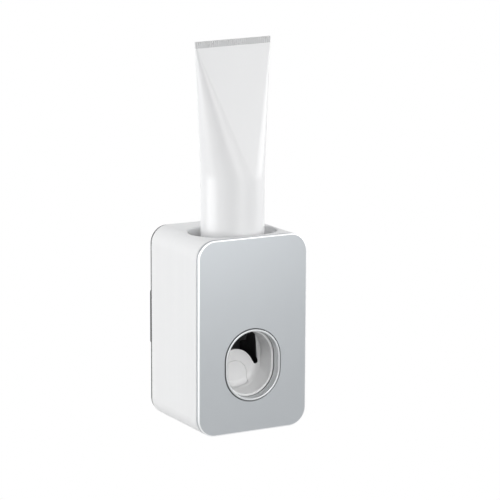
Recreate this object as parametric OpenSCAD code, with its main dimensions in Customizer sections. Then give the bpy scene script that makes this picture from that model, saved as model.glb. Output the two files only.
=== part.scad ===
// Wall toothpaste dispenser: a shell that hooks on a stuck wall plate, a pump
// cartridge behind a swinging brush cup, a pull-off front cover and a tube.
// Every module works in the body's own frame: X from the middle, Y back from
// the cover's face, Z up from the body's base. in_frame() then moves it so that
// the origin is the middle of the pad's back face, on the wall.

/* [Body] */
// Outer width of the body
body_w = 65; // [62:0.5:76]
// Outer height of the body
body_h = 105; // [100:0.5:125]
// Depth of the body, from the cover's face to its back
body_d = 56.5; // [56:0.5:66]
// Radius of the body's corners, seen from the front
corner_r = 10; // [8:0.5:12]
// Wall of the outer shell
shell_wall = 2.2; // [1.8:0.1:2.6]
// Distance of the corner bosses from the outer faces
boss_inset = 7; // [6.5:0.1:8]
// Radius of a corner boss
boss_r = 4; // [3.6:0.1:4.4]

/* [Back and wall plate] */
// Thickness of the back cover
back_t = 2; // [1.8:0.1:2.6]
// Step of the back cover inside the shell's outline
back_inset = 0.4; // [0.2:0.1:1]
// Depth of the back cover's locating rib
back_rib = 2; // [1:0.1:3]
// Width of the wall plate
plate_w = 63; // [52:0.5:63]
// Height of the wall plate
plate_h = 30.7; // [28:0.1:36]
// Thickness of the wall plate
plate_t = 3; // [2.4:0.1:4]
// Height of the wall plate's middle above the body's base
plate_z = 54; // [50:0.5:60]
// Corner radius of the wall plate
plate_r = 5; // [3:0.5:8]
// Thickness of the adhesive pad
pad_t = 1; // [0.6:0.1:1.6]
// Border of bare plate round the adhesive pad
pad_border = 2; // [1:0.5:4]
// Distance between the two hook studs
stud_pitch = 40; // [38:0.5:42]
// Diameter of a stud's shank
stud_d = 4; // [3.6:0.1:4.6]
// Diameter of a stud's head
stud_head_d = 8; // [7:0.1:8.6]
// Thickness of a stud's head
stud_head_t = 1.5; // [1.2:0.1:1.6]
// Lift that brings the studs to the wide end of the keyholes
hook_lift = 12; // [10:0.5:14]

/* [Front cover] */
// Thickness of the cover, with the silver face wrapped over its edge
cover_t = 2.2; // [2:0.1:3]
// Width of the seam between cover and shell
seam_w = 0.3; // [0.2:0.05:0.6]
// Depth of the seam
seam_d = 1.2; // [1:0.1:1.4]
// Thickness of the silver face
face_t = 0.8; // [0.5:0.1:1]
// Diameter of a cover peg
peg_d = 4; // [3.4:0.1:4.4]
// Reach of a cover peg into its boss
peg_l = 8; // [5:0.5:9]

/* [Brush opening] */
// Outer width of the trim ring
ring_w = 33.5; // [32:0.5:35]
// Outer height of the trim ring
ring_h = 39.3; // [38:0.1:41]
// Height of the opening's middle above the body's base
ring_z = 36.3; // [35.5:0.1:37]
// Overhang of the trim ring's lip over its barrel
ring_lip = 0.5; // [0.3:0.1:1]
// Wall of the trim ring's barrel
ring_wall = 1; // [0.8:0.1:1.4]
// Height of the trim ring above the face plate
ring_proud = 0.4; // [0.2:0.1:1]
// Length of the trim ring behind the cover's face
ring_l = 4.6; // [4.2:0.1:4.6]

/* [Push cup] */
// Wall of the push cup
cup_wall = 1.5; // [1.2:0.1:2]
// Depth of the push cup
cup_l = 17; // [16:0.5:18]
// Swing of the push cup when fully pressed, in degrees
cup_swing = 13; // [8:0.5:13]
// Height of the lever's axis above the cup
hinge_rise = 3.65; // [3.5:0.05:4.5]
// Diameter of the hinge pins
pin_d = 3; // [2.4:0.1:3.4]
// Radius of the lever's pivot bosses
pivot_r = 3.4; // [3:0.1:3.5]
// Radius of the dome-topped back wall of the cup
dome_r = 11.6; // [11.2:0.1:12.2]
// Height of the dome's centre above the body's base
dome_z = 28.8; // [27.5:0.1:29.5]
// Half width of the inset push pad
pad_half_w = 7.4; // [6:0.1:8]
// Height of the push pad's arch
pad_arch_h = 14.2; // [12:0.1:15]

/* [Pump] */
// Gap between the moving cup and the cartridge's cheeks
cheek_gap = 1.75; // [1.2:0.05:2]
// Thickness of the cartridge's walls
cart_t = 2; // [1.6:0.1:2.2]
// Height of the flow channel's body
duct_h = 5; // [5:0.1:5.6]
// Half width of the flow channel's body
duct_half_w = 8; // [7.5:0.1:9]
// Thickness of the flow channel's lid
lid_t = 1.5; // [1.2:0.1:1.5]
// Half width of the flow channel
chan_half_w = 2.5; // [2:0.1:2.8]
// Depth of the flow channel
chan_d = 3; // [2.6:0.1:3]
// Outer radius of the bellows' folds
fold_r = 9.0; // [8.5:0.1:9.1]
// Number of folds in the bellows
folds = 4; // [3:1:5]
// Wall of the bellows
fold_wall = 0.8; // [0.6:0.1:1]
// Wire of the return spring
wire_d = 1; // [0.8:0.1:1.2]
// Curls of the return spring
curls = 5; // [4:1:5]

/* [Toothpaste tube] */
// Diameter of the tube
tube_d = 34; // [32:0.5:34]
// Distance of the tube's axis from the cover's face
tube_y = 23; // [22.5:0.1:23.5]
// Length of the sleeve from its shoulder to the crimp's end
sleeve_l = 129.2; // [110:0.1:150]
// Length of the sleeve's round part
round_l = 58; // [40:1:70]
// Height of the crimped end
crimp_h = 3.4; // [3:0.1:8]
// Thickness of the crimped end
crimp_t = 1.4; // [1.2:0.1:2]
// Number of ridges across the crimp
crimp_ridges = 36; // [20:1:48]
// Turn of the crimp about the tube's axis, in degrees
crimp_turn = 12.7; // [0:0.1:20]
// Wall of the tube's sleeve
sleeve_wall = 0.6; // [0.4:0.1:0.8]
// Diameter of the tube's neck
neck_d = 12.6; // [12:0.1:13]
// Width of the well's mouth
well_w = 49.5; // [44:0.5:49.5]
// Gap between the tube and the front and back of the well
well_gap = 0.75; // [0.5:0.05:1]
// Wall of the tube well
well_wall = 1.6; // [1.2:0.1:1.8]

/* [Hidden] */
$fn = 96;
// Radial clearances: a running fit, a close fixed fit and a loose passage
run_fit = 0.06;
seat_fit = 0.05;
part_gap = 0.3;
// Over-length of every cut, so that no skin is left behind
cut = 0.5;

// Planes along the depth
shell_y0 = cover_t + seam_w;
back_y = body_d - back_t;
wall_y = body_d + plate_t + pad_t;
inner_w = body_w - 2 * shell_wall;
inner_h = body_h - 2 * shell_wall;
boss_x = body_w / 2 - boss_inset;
boss_zs = [boss_inset, body_h - boss_inset];

// Ring, cup and lever
barrel_w = ring_w - 2 * ring_lip;
barrel_h = ring_h - 2 * ring_lip;
bore_w = barrel_w - 2 * ring_wall;
bore_h = barrel_h - 2 * ring_wall;
cup_cover = 0.25;
cup_w = bore_w + 2 * cup_cover;
cup_h = bore_h + 2 * cup_cover;
cup_gap = 0.4;
cup_y0 = ring_l + cup_gap;
cup_y1 = cup_y0 + cup_l;
cup_top = ring_z + cup_h / 2;
hinge_y = cup_y1;
hinge_z = cup_top + hinge_rise;
cup_lip_l = 1.6;
arm_x0 = 12.8;
arm_t = 2.5;
tip_r = 1.2;
tip_x = dome_r + 0.4;
tip_z = dome_z + 3.8;
// The opening's sides lean in by this share of their height
side_lean = 0.13;

// Cartridge frame
cheek_x0 = cup_w / 2 + cheek_gap;
cheek_x1 = cheek_x0 + cart_t;
flange_y0 = 6;
flange_y1 = flange_y0 + cart_t;
flange_w = inner_w - 1.4;
cart_z0 = 10;
flange_z0 = 12;
rear_gap = 6.5;
rear_y1 = back_y - rear_gap;
rear_y0 = rear_y1 - cart_t;

// Flow channel
duct_clear = 1.2;
duct_z0 = cup_top + duct_clear;
duct_z1 = duct_z0 + duct_h;
lid_z1 = duct_z1 + lid_t;
top_z1 = lid_z1 + cart_t;
duct_y0 = flange_y1 + 0.6;
duct_y1 = rear_y1 + duct_h;
lid_back_t = 1.2;
duct_foot_drop = 6.5;
duct_foot_z = dome_z - duct_foot_drop;
nozzle_y = 14;
duct_screw_x = 5.5;
duct_screw_ys = [11, 36];

// Nozzle, from the channel down
spout_r = 3;
spout_l = 2.9;
valve_flange_r = 4.4;
valve_flange_t = 1.2;
valve_tip_l = 4.9;
valve_tip_r = 3.2;
spout_z = duct_z0 - spout_l;
valve_z = spout_z - valve_flange_t;
tip_end_z = valve_z - valve_tip_l;

// Bellows, plunger and spring, on one axis behind the dome
nose_gap = 0.2;
nose_r = 3;
nose_y = cup_y1 + nose_gap;
nose_l = 4.8;
disc_r = dome_r - 0.4;
disc_y0 = nose_y + nose_l;
disc_t = 2;
bellows_y0 = disc_y0 + disc_t;
flange_t = 1.2;
clamp_t = 1.2;
bellows_y1 = rear_y0 - flange_t;
clamp_y0 = bellows_y1 - clamp_t;
fold_root_r = fold_r - 2.2;
clamp_r = 12.4;
port_r = 5;
port_bore_r = 2.5;
coil_r = disc_r - 0.2 - wire_d / 2;

// Tube, its socket and the well
socket_web = 1.2;
neck_r = neck_d / 2;
neck_wall = 2.3;
inlet_r = 2.6;
socket_bore_r = neck_r + run_fit;
socket_r = 8;
socket_flange_r = 9.5;
ring_clamp_r = 10.5;
neck_z = lid_z1 + socket_web;
socket_top = top_z1 + 6;
well_floor_z = socket_top;
well_floor_t = 2;
well_hole_r = 12;
cone_z0 = well_floor_z + well_floor_t;
sleeve_z0 = cone_z0 + 5;
sleeve_r = tube_d / 2;
well_d = tube_d + 2 * well_gap;
crimp_trim = 0.7;
crimp_w = PI * sleeve_r - 2 * crimp_trim;
flat_z = sleeve_z0 + sleeve_l - crimp_h;
form_sides = 64;
plug_l = 3;
// The tube's hollow ends this far below and inside the crimp
seal_h = 3;
seal_w = 2;
paste_gap = 0.2;

// Screws: shank radius, head radius, head thickness
back_screw = [1.4, 2.6, 1.2];
cart_screw = [1.3, 2.5, 1.2];
duct_screw = [1.1, 2.2, 1.2];
back_screw_l = 9;
cart_screw_l = 7;
cart_boss_r = 3.5;
cart_boss_x = (cheek_x1 + inner_w / 2) / 2 + 0.6;
rail_w = 2.4;

white = [0.94, 0.94, 0.93];
silver = [0.76, 0.77, 0.79];
black = [0.1, 0.1, 0.11];
graphite = [0.22, 0.23, 0.24];
chrome = [0.82, 0.83, 0.85];
steel = [0.62, 0.63, 0.65];
clear_white = [0.86, 0.87, 0.87];
brass_gray = [0.5, 0.5, 0.5];

// Moves the body's frame to the wall's frame
module in_frame() {
    translate([0, -wall_y, -plate_z]) children();
}

// Outline with four round corners, about its middle
module round_rect(w, h, r) {
    square([w - 2 * r, h], center = true);
    square([w, h - 2 * r], center = true);
    for (sx = [-1, 1], sy = [-1, 1])
        translate([sx * (w / 2 - r), sy * (h / 2 - r)]) circle(r);
}

// Outline with two round ends, upright or lying
module obround(w, h) {
    r = min(w, h) / 2;
    square([max(w - 2 * r, w > h ? 0 : w), max(h - 2 * r, h > w ? 0 : h)], center = true);
    for (s = [-1, 1])
        translate([s * (w / 2 - r), s * (h / 2 - r)]) circle(r);
}

// Stands a flat outline upright and runs it from y0 to y1
module run_y(y0, y1) {
    translate([0, y1, 0]) rotate([90, 0, 0]) linear_extrude(y1 - y0) children();
}

// Lays an outline drawn in depth and height across the width, about X = 0
module run_x(x0, x1) {
    translate([x0, 0, 0]) rotate([90, 0, 90]) linear_extrude(x1 - x0) children();
}

// Round bar along the depth
module rod_y(x, z, r, y0, y1) {
    translate([x, y0, z]) rotate([-90, 0, 0]) cylinder(r = r, h = y1 - y0);
}

// Round bar along the width
module rod_x(y, z, r, x0, x1) {
    translate([x0, y, z]) rotate([0, 90, 0]) cylinder(r = r, h = x1 - x0);
}

// Box given by its low and high corners
module block(low, high) {
    translate(low) cube(high - low);
}

// The body's outline, drawn in by a margin
module body_outline(margin) {
    translate([0, body_h / 2])
        round_rect(body_w - 2 * margin, body_h - 2 * margin, corner_r - margin);
}

// The brush opening's outline for a given width and height
module opening_outline(w, h) {
    translate([0, ring_z]) obround(w, h);
}

// Places its child at the four corner bosses
module at_corners() {
    for (sx = [-1, 1], z = boss_zs)
        translate([sx * boss_x, 0, z]) children();
}

// A plate that clamps to the wall, with two mushroom studs
module wall_plate() {
    color(graphite) in_frame() {
        run_y(body_d, body_d + plate_t)
            translate([0, plate_z]) round_rect(plate_w, plate_h, plate_r);
        for (sx = [-1, 1])
            translate([sx * stud_pitch / 2, 0, plate_z]) {
                rod_y(0, 0, stud_d / 2, back_y - part_gap - stud_head_t, body_d);
                rod_y(0, 0, stud_head_d / 2, back_y - part_gap - stud_head_t, back_y - part_gap);
            }
    }
}

// The foam pad that sticks the plate to the wall
module adhesive_pad() {
    color(brass_gray) in_frame() run_y(body_d + plate_t, wall_y) translate([0, plate_z])
        round_rect(plate_w - 2 * pad_border, plate_h - 2 * pad_border, plate_r - pad_border);
}

// The corner bosses: pegs go in from the front, screws from the back
module shell_bosses() {
    at_corners() {
        difference() {
            rod_y(0, 0, boss_r, shell_y0, shell_y0 + peg_l + 2);
            rod_y(0, 0, peg_d / 2, shell_y0 - cut, shell_y0 + peg_l + 0.5);
        }
        difference() {
            rod_y(0, 0, boss_r, back_y - back_screw_l - 2, back_y);
            rod_y(0, 0, back_screw[0] + seat_fit, back_y - back_screw_l - 0.5, back_y + cut);
        }
    }
    // Webs that tie each boss to the side wall
    for (sx = [-1, 1], z = boss_zs) {
        web_x = [sx * boss_x + sx * (boss_r - 0.6), sx * (inner_w / 2 + shell_wall / 2)];
        for (ys = [[shell_y0, shell_y0 + peg_l + 2], [back_y - back_screw_l - 2, back_y]])
            block([min(web_x), ys[0], z - 1], [max(web_x), ys[1], z + 1]);
    }
}

// Rails and screw bosses that the cartridge's flange seats on
module cartridge_seats() {
    difference() {
        for (sx = [-1, 1]) {
            rail_x = [sx * (inner_w / 2 - rail_w), sx * (inner_w / 2 + shell_wall / 2)];
            block([min(rail_x), flange_y1, flange_z0 + 1], [max(rail_x), flange_y1 + 3, top_z1 - 2]);
            web_x = [sx * (cart_boss_x + cart_boss_r - 0.6), sx * (inner_w / 2 + shell_wall / 2)];
            block([min(web_x), flange_y1, ring_z - 1.2], [max(web_x), flange_y1 + cart_screw_l + 1, ring_z + 1.2]);
            rod_y(sx * cart_boss_x, ring_z, cart_boss_r, flange_y1, flange_y1 + cart_screw_l + 1);
        }
        for (sx = [-1, 1])
            rod_y(sx * cart_boss_x, ring_z, cart_screw[0] + seat_fit,
                flange_y1 - cut, flange_y1 + cart_screw_l + 0.3);
    }
}

// The white case: an open-ended rounded box with the tube well hanging from its top
module outer_shell() {
    color(white) in_frame() {
        difference() {
            union() {
                run_y(shell_y0, back_y) difference() {
                    body_outline(0);
                    body_outline(shell_wall);
                }
                translate([0, tube_y, well_floor_z]) linear_extrude(body_h - 1 - well_floor_z)
                    obround(well_w + 2 * well_wall, well_d + 2 * well_wall);
            }
            translate([0, tube_y, well_floor_z + well_floor_t])
                linear_extrude(body_h - well_floor_z) obround(well_w, well_d);
            translate([0, tube_y, well_floor_z - cut]) cylinder(r = well_hole_r, h = well_floor_t + 2 * cut);
            // The well's front wall ends with the shell's front edge
            block([-body_w, 0, well_floor_z - cut], [body_w, shell_y0, body_h + cut]);
        }
        shell_bosses();
        cartridge_seats();
    }
}

// One keyhole: the stud hangs at its narrow upper end
module keyhole() {
    circle(stud_d / 2 + part_gap);
    translate([0, -hook_lift]) circle(stud_head_d / 2 + 0.5);
    translate([-(stud_d / 2 + part_gap), -hook_lift]) square([stud_d + 2 * part_gap, hook_lift]);
}

// The dark back with its locating rib, keyholes and sunk screw seats
module back_cover() {
    color(graphite) in_frame() difference() {
        union() {
            run_y(back_y, body_d) body_outline(back_inset);
            difference() {
                run_y(back_y - back_rib, back_y) difference() {
                    body_outline(shell_wall + 0.2);
                    body_outline(shell_wall + 1.7);
                }
                at_corners() rod_y(0, 0, boss_r + 0.4, back_y - back_rib - cut, back_y);
                at_corners() block([-2 * boss_inset, back_y - back_rib - cut, -1.4],
                    [2 * boss_inset, back_y, 1.4]);
            }
        }
        for (sx = [-1, 1])
            run_y(back_y - cut, body_d + cut) translate([sx * stud_pitch / 2, plate_z]) keyhole();
        at_corners() {
            rod_y(0, 0, back_screw[0] + 0.2, back_y - cut, body_d + cut);
            rod_y(0, 0, back_screw[1] + 0.2, body_d - back_screw[2], body_d + cut);
        }
    }
}

// A pan-head screw along the depth, its head's seat at y, pointing by dir
module screw_y(size, length, y, dir) {
    rod_y(0, 0, size[0], min(y, y + dir * length), max(y, y + dir * length));
    difference() {
        rod_y(0, 0, size[1], min(y, y - dir * size[2]), max(y, y - dir * size[2]));
        for (a = [0, 90])
            translate([0, y - dir * size[2], 0]) rotate([0, a, 0])
                cube([size[1], 1, 0.5], center = true);
    }
}

// Four screws that hold the back
module back_screws() {
    color(steel) in_frame() at_corners() screw_y(back_screw, back_screw_l, body_d - back_screw[2], -1);
}

// The black frame that carries the pump, the channel and the lever
module cartridge_frame() {
    flange_h = top_z1 - flange_z0;
    color(black) in_frame() difference() {
        union() {
            // Front flange
            run_y(flange_y0, flange_y1) translate([0, flange_z0 + flange_h / 2])
                round_rect(flange_w, flange_h, 3);
            // Cheeks, floor, roof and rear wall
            for (sx = [-1, 1])
                block([min(sx * cheek_x0, sx * cheek_x1), flange_y0, cart_z0],
                    [max(sx * cheek_x0, sx * cheek_x1), rear_y1, top_z1]);
            block([-cheek_x1, flange_y0, cart_z0], [cheek_x1, rear_y1, flange_z0]);
            block([-cheek_x1, flange_y0, lid_z1], [cheek_x1, rear_y1, top_z1]);
            block([-cheek_x1, rear_y0, cart_z0], [cheek_x1, rear_y1, duct_z0 - 0.4]);
        }
        // Window for the swinging cup
        run_y(flange_y0 - cut, flange_y1 + cut) translate([0, ring_z - 0.6])
            obround(2 * cheek_x0, cup_h + 6);
        // Holes for the socket, the pump port, the pins and the screws
        translate([0, tube_y, lid_z1 - cut]) cylinder(r = socket_flange_r + 0.3, h = cart_t + 2 * cut);
        rod_y(0, dome_z, port_r + 0.1, rear_y0 - cut, rear_y1 + cut);
        rod_x(hinge_y, hinge_z, pin_d / 2 + seat_fit, -cheek_x1 - cut, cheek_x1 + cut);
        for (sx = [-1, 1], y = duct_screw_ys)
            translate([sx * duct_screw_x, y, lid_z1 - cut]) cylinder(r = duct_screw[0] + 0.2, h = cart_t + 2 * cut);
        for (sx = [-1, 1])
            rod_y(sx * cart_boss_x, ring_z, cart_screw[0] + 0.2, flange_y0 - cut, flange_y1 + cut);
    }
}

// Two screws that hold the cartridge's flange to the shell
module cartridge_screws() {
    color(steel) in_frame() for (sx = [-1, 1])
        translate([sx * cart_boss_x, 0, ring_z]) screw_y(cart_screw, cart_screw_l + cart_t, flange_y0, 1);
}

// Two headed stub pins that the lever swings on
module hinge_pins() {
    color(steel) in_frame() for (sx = [-1, 1]) {
        ends = [sx * arm_x0, sx * cheek_x1, sx * (cheek_x1 + 1)];
        rod_x(hinge_y, hinge_z, pin_d / 2, min(ends[0], ends[1]), max(ends[0], ends[1]));
        rod_x(hinge_y, hinge_z, pin_d / 2 + 1, min(ends[1], ends[2]), max(ends[1], ends[2]));
    }
}

// The flow channel's body: a roof leg over the cup and a rear leg down to the pump
module duct_body() {
    color(black) in_frame() difference() {
        union() {
            block([-duct_half_w, duct_y0, duct_z0], [duct_half_w, duct_y1, duct_z1]);
            block([-duct_half_w, rear_y1, duct_foot_z], [duct_half_w, duct_y1, duct_z1]);
            rod_y(0, dome_z, port_r, rear_y0, rear_y1);
            translate([0, nozzle_y, spout_z]) cylinder(r = spout_r, h = spout_l);
        }
        block([-chan_half_w, nozzle_y - 2, duct_z1 - chan_d], [chan_half_w, duct_y1 + cut, duct_z1 + cut]);
        block([-chan_half_w, duct_y1 - chan_d, dome_z - chan_half_w], [chan_half_w, duct_y1 + cut, duct_z1 + cut]);
        rod_y(0, dome_z, port_bore_r, rear_y0 - cut, duct_y1 - 1);
        translate([0, nozzle_y, spout_z - cut]) cylinder(r = 1.5, h = duct_h + spout_l);
        for (sx = [-1, 1], y = duct_screw_ys)
            translate([sx * duct_screw_x, y, duct_z0 + 1]) cylinder(r = duct_screw[0] + seat_fit, h = duct_h);
    }
}

// The lid that closes both legs of the channel, with the inlet hole
module duct_lid() {
    color(black) in_frame() difference() {
        union() {
            block([-duct_half_w, duct_y0, duct_z1], [duct_half_w, duct_y1 + lid_back_t, lid_z1]);
            block([-duct_half_w, duct_y1, duct_foot_z], [duct_half_w, duct_y1 + lid_back_t, lid_z1]);
        }
        translate([0, tube_y, duct_z1 - cut]) cylinder(r = 2, h = lid_t + 2 * cut);
        for (sx = [-1, 1], y = duct_screw_ys)
            translate([sx * duct_screw_x, y, duct_z1 - cut]) cylinder(r = duct_screw[0] + 0.2, h = lid_t + 2 * cut);
    }
}

// Four screws that draw lid and channel up against the cartridge's roof
module duct_screws() {
    color(steel) in_frame() for (sx = [-1, 1], y = duct_screw_ys)
        translate([sx * duct_screw_x, y, duct_z0 + 1.5]) {
            cylinder(r = duct_screw[0], h = top_z1 - duct_z0 - 1.5);
            translate([0, 0, top_z1 - duct_z0 - 1.5]) difference() {
                cylinder(r = duct_screw[1], h = duct_screw[2]);
                for (a = [0, 90])
                    translate([0, 0, duct_screw[2]]) rotate([0, 0, a]) cube([duct_screw[1], 0.5, 1], center = true);
            }
        }
}

// The soft collar that grips the tube's neck
module tube_socket() {
    color(clear_white) in_frame() translate([0, tube_y, 0]) difference() {
        union() {
            translate([0, 0, lid_z1]) cylinder(r = socket_flange_r, h = cart_t);
            translate([0, 0, lid_z1]) cylinder(r = socket_r, h = socket_top - lid_z1);
        }
        translate([0, 0, lid_z1 - cut]) cylinder(r = inlet_r, h = socket_web + 2 * cut);
        translate([0, 0, neck_z]) cylinder(r = socket_bore_r, h = socket_top);
    }
}

// The ring that holds the collar's flange down
module socket_ring() {
    color(black) in_frame() translate([0, tube_y, top_z1]) difference() {
        cylinder(r = ring_clamp_r, h = 2);
        translate([0, 0, -cut]) cylinder(r = socket_r + 0.1, h = 2 + 2 * cut);
    }
}

// The soft outlet: a flange and two lips that close to a wedge
module outlet_valve() {
    lips = [[-valve_tip_r, valve_z], [-valve_tip_r, valve_z - 1], [-0.6, tip_end_z],
        [0.6, tip_end_z], [valve_tip_r, valve_z - 1], [valve_tip_r, valve_z]];
    color(black) in_frame() translate([0, nozzle_y, 0]) difference() {
        union() {
            translate([0, 0, valve_z]) cylinder(r = valve_flange_r, h = valve_flange_t);
            intersection() {
                translate([0, 0, tip_end_z]) cylinder(r = valve_tip_r, h = valve_tip_l);
                run_x(-valve_tip_r, valve_tip_r) polygon(lips);
            }
        }
        translate([0, 0, valve_z - 1.4]) cylinder(r = 1.6, h = valve_flange_t + 2);
        run_x(-1.6, 1.6) polygon([[-1.2, valve_z - 1], [-0.1, tip_end_z - cut],
            [0.1, tip_end_z - cut], [1.2, valve_z - 1]]);
    }
}

// The cap that clamps the outlet to the spout
module nozzle_cap() {
    lip_r = valve_tip_r + 0.2;
    pocket_r = valve_flange_r + 0.05;
    cap_r = pocket_r + 0.75;
    color(black) in_frame() translate([0, nozzle_y, 0]) rotate_extrude()
        polygon([[lip_r, valve_z - 1], [cap_r, valve_z - 1], [cap_r, duct_z0 - 0.6],
            [spout_r + seat_fit, duct_z0 - 0.6], [spout_r + seat_fit, spout_z],
            [pocket_r, spout_z], [pocket_r, valve_z], [lip_r, valve_z]]);
}

// Half outline of the bellows: outer folds out, inner folds back
function fold_line(r_out, r_in, y0, y1, n) =
    [for (i = [0 : 2 * n]) [i % 2 == 0 ? r_in : r_out, y0 + (y1 - y0) * i / (2 * n)]];

// The soft pump bellows, closed in front, flanged at the back
module bellows() {
    outer = fold_line(fold_r, fold_root_r, bellows_y0 + 1.4, clamp_y0 - 0.3, folds);
    inner = fold_line(fold_r - fold_wall * 1.3, fold_root_r - fold_wall * 1.3,
        bellows_y0 + 1.4, clamp_y0 - 0.3, folds);
    back_in = [for (i = [len(inner) - 1 : -1 : 0]) inner[i]];
    color(graphite) in_frame() translate([0, 0, dome_z]) rotate([-90, 0, 0])
        rotate_extrude() polygon(concat(
            [[0, bellows_y0], [fold_root_r, bellows_y0]], outer,
            [[fold_root_r, bellows_y1], [clamp_r - 2.2, bellows_y1], [clamp_r - 2.2, rear_y0],
            [port_r + 0.2, rear_y0], [port_r + 0.2, clamp_y0 - 0.3]], back_in,
            [[fold_root_r - fold_wall * 1.3, bellows_y0 + 1.2], [0, bellows_y0 + 1.2]]));
}

// The ring that clamps the bellows to the cartridge's rear wall
module bellows_ring() {
    color(black) in_frame() translate([0, 0, dome_z]) rotate([-90, 0, 0]) rotate_extrude()
        polygon([[fold_root_r + 0.3, clamp_y0], [clamp_r, clamp_y0], [clamp_r, rear_y0],
            [clamp_r - 2, rear_y0], [clamp_r - 2, bellows_y1], [fold_root_r + 0.3, bellows_y1]]);
}

// Points of the return spring: rings of six round a helix about the pump's axis
spring_sides = 6;
spring_rings = 8;
spring_y0 = bellows_y0 + wire_d / 2;
spring_y1 = clamp_y0 - wire_d / 2;
spring_pitch = (spring_y1 - spring_y0) / curls;
function spring_centre(i) =
    let (a = 360 * i / spring_rings)
    [coil_r * cos(a), spring_y0 + spring_pitch * i / spring_rings, coil_r * sin(a)];
function spring_point(i, j) =
    let (a = 360 * i / spring_rings, b = 360 * j / spring_sides, r = coil_r + wire_d / 2 * cos(b))
    [r * cos(a), spring_y0 + spring_pitch * i / spring_rings + wire_d / 2 * sin(b), r * sin(a)];

// The wire spring round the bellows that returns the cup
module return_spring() {
    n = curls * spring_rings;
    points = [for (i = [0 : n], j = [0 : spring_sides - 1]) spring_point(i, j)];
    sides = [for (i = [0 : n - 1], j = [0 : spring_sides - 1])
        let (k = (j + 1) % spring_sides, a = i * spring_sides, b = a + spring_sides)
        each [[a + j, b + j, a + k], [a + k, b + j, b + k]]];
    first = [for (j = [1 : spring_sides - 2]) [0, j, j + 1]];
    last = [for (j = [1 : spring_sides - 2]) let (a = n * spring_sides) [a, a + j + 1, a + j]];
    color(steel) in_frame() translate([0, 0, dome_z])
        polyhedron(points, concat(sides, first, last));
}
spring_gap = min([for (i = [0 : (curls - 1) * spring_rings])
    norm(spring_centre(i + spring_rings) - spring_centre(i))]) - wire_d;
echo(str("Least gap between the spring's curls: ", spring_gap, " mm"));

// The opening above the dome, with a round tip at each side
module arch_opening() {
    low_x = tip_x + tip_r;
    high_x = low_x - side_lean * cup_h;
    difference() {
        intersection() {
            opening_outline(cup_w - 2 * cup_wall, cup_h - 2 * cup_wall);
            polygon([[-low_x, tip_z], [low_x, tip_z], [high_x, tip_z + cup_h], [-high_x, tip_z + cup_h]]);
        }
        translate([0, dome_z]) circle(dome_r);
    }
    for (sx = [-1, 1])
        translate([sx * tip_x, tip_z]) circle(tip_r);
}

// The outline of the inset push pad: a tall arch on the cup's floor
module pad_outline(grow) {
    floor_z = ring_z - cup_h / 2 + cup_wall;
    arch = [for (a = [0 : 10 : 180])
        [(pad_half_w + grow) * cos(a), floor_z + 0.6 + (pad_arch_h + grow) * sin(a)]];
    intersection() {
        polygon(arch);
        opening_outline(cup_w - 2 * cup_wall - 1 + 2 * grow, cup_h - 2 * cup_wall - 1 + 2 * grow);
    }
}

// The white brush cup with its two arms and pivot bosses
module push_lever() {
    color(white) in_frame() difference() {
        union() {
            run_y(cup_y0, cup_y1) opening_outline(cup_w, cup_h);
            for (sx = [-1, 1]) {
                arm_x = [sx * arm_x0, sx * (arm_x0 + arm_t)];
                block([min(arm_x), hinge_y - 5, ring_z], [max(arm_x), hinge_y + 3, hinge_z]);
                boss_end = [sx * arm_x0, sx * (cheek_x0 - part_gap)];
                rod_x(hinge_y, hinge_z, pivot_r, min(boss_end), max(boss_end));
            }
        }
        // The brush space, the slot for the nozzle and the arched opening
        run_y(cup_y0 - cut, cup_y1 - cup_wall)
            opening_outline(cup_w - 2 * cup_wall, cup_h - 2 * cup_wall);
        block([-6.5, cup_y0 + cup_lip_l, tip_end_z + 2], [6.5, cup_y1 + cut, cup_top + cut]);
        run_y(cup_y1 - cup_wall - cut, cup_y1 + 4) arch_opening();
        run_y(cup_y1 - cup_wall - cut, cup_y1 - cup_wall + 0.8) pad_outline(0.1);
        rod_x(hinge_y, hinge_z, pin_d / 2 + run_fit, -cheek_x1, cheek_x1);
    }
}

// The smooth pad let into the cup's back wall
module push_pad() {
    color(white) in_frame() run_y(cup_y1 - cup_wall - 0.2, cup_y1 - cup_wall + 0.8) pad_outline(0);
}

// The plunger that carries the cup's push to the bellows
module plunger() {
    color(black) in_frame() {
        rod_y(0, dome_z, disc_r, disc_y0, disc_y0 + disc_t);
        rod_y(0, dome_z, nose_r, nose_y + nose_r, disc_y0);
        intersection() {
            translate([0, nose_y + nose_r, dome_z]) sphere(nose_r);
            rod_y(0, dome_z, nose_r + 1, nose_y - 1, nose_y + nose_r);
        }
    }
}

// The flap under the inlet hole: it swings down to let paste in
module inlet_flap() {
    flap_t = 0.8;
    flap_w = 2 * (chan_half_w - part_gap);
    color(clear_white) in_frame() {
        block([-flap_w / 2, tube_y - 2.5, duct_z1 - flap_t], [flap_w / 2, tube_y + 4, duct_z1]);
        rod_x(tube_y + 4, duct_z1 - flap_t / 2, flap_t / 2, -flap_w / 2, flap_w / 2);
    }
}

// The white inner cover: plate, stepped rib, pegs and a collar for the trim ring
module cover_frame() {
    color(white) in_frame() difference() {
        union() {
            run_y(face_t, cover_t) body_outline(face_t + seat_fit);
            run_y(cover_t, shell_y0) difference() {
                body_outline(seam_d);
                body_outline(seam_d + 2);
            }
            run_y(cover_t, ring_l - 0.2) opening_outline(ring_w + 1.4, ring_h + 1.4);
            at_corners() rod_y(0, 0, peg_d / 2 - seat_fit, cover_t, shell_y0 + peg_l);
        }
        run_y(face_t - cut, ring_l) opening_outline(barrel_w + 0.2, barrel_h + 0.2);
    }
}

// The silver face: a thin sheet that wraps over the inner cover's edge
module face_plate() {
    color(silver) in_frame() difference() {
        run_y(0, cover_t) body_outline(0);
        run_y(face_t, cover_t + cut) body_outline(face_t);
        run_y(-cut, cover_t) opening_outline(ring_w + 0.2, ring_h + 0.2);
    }
}

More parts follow.
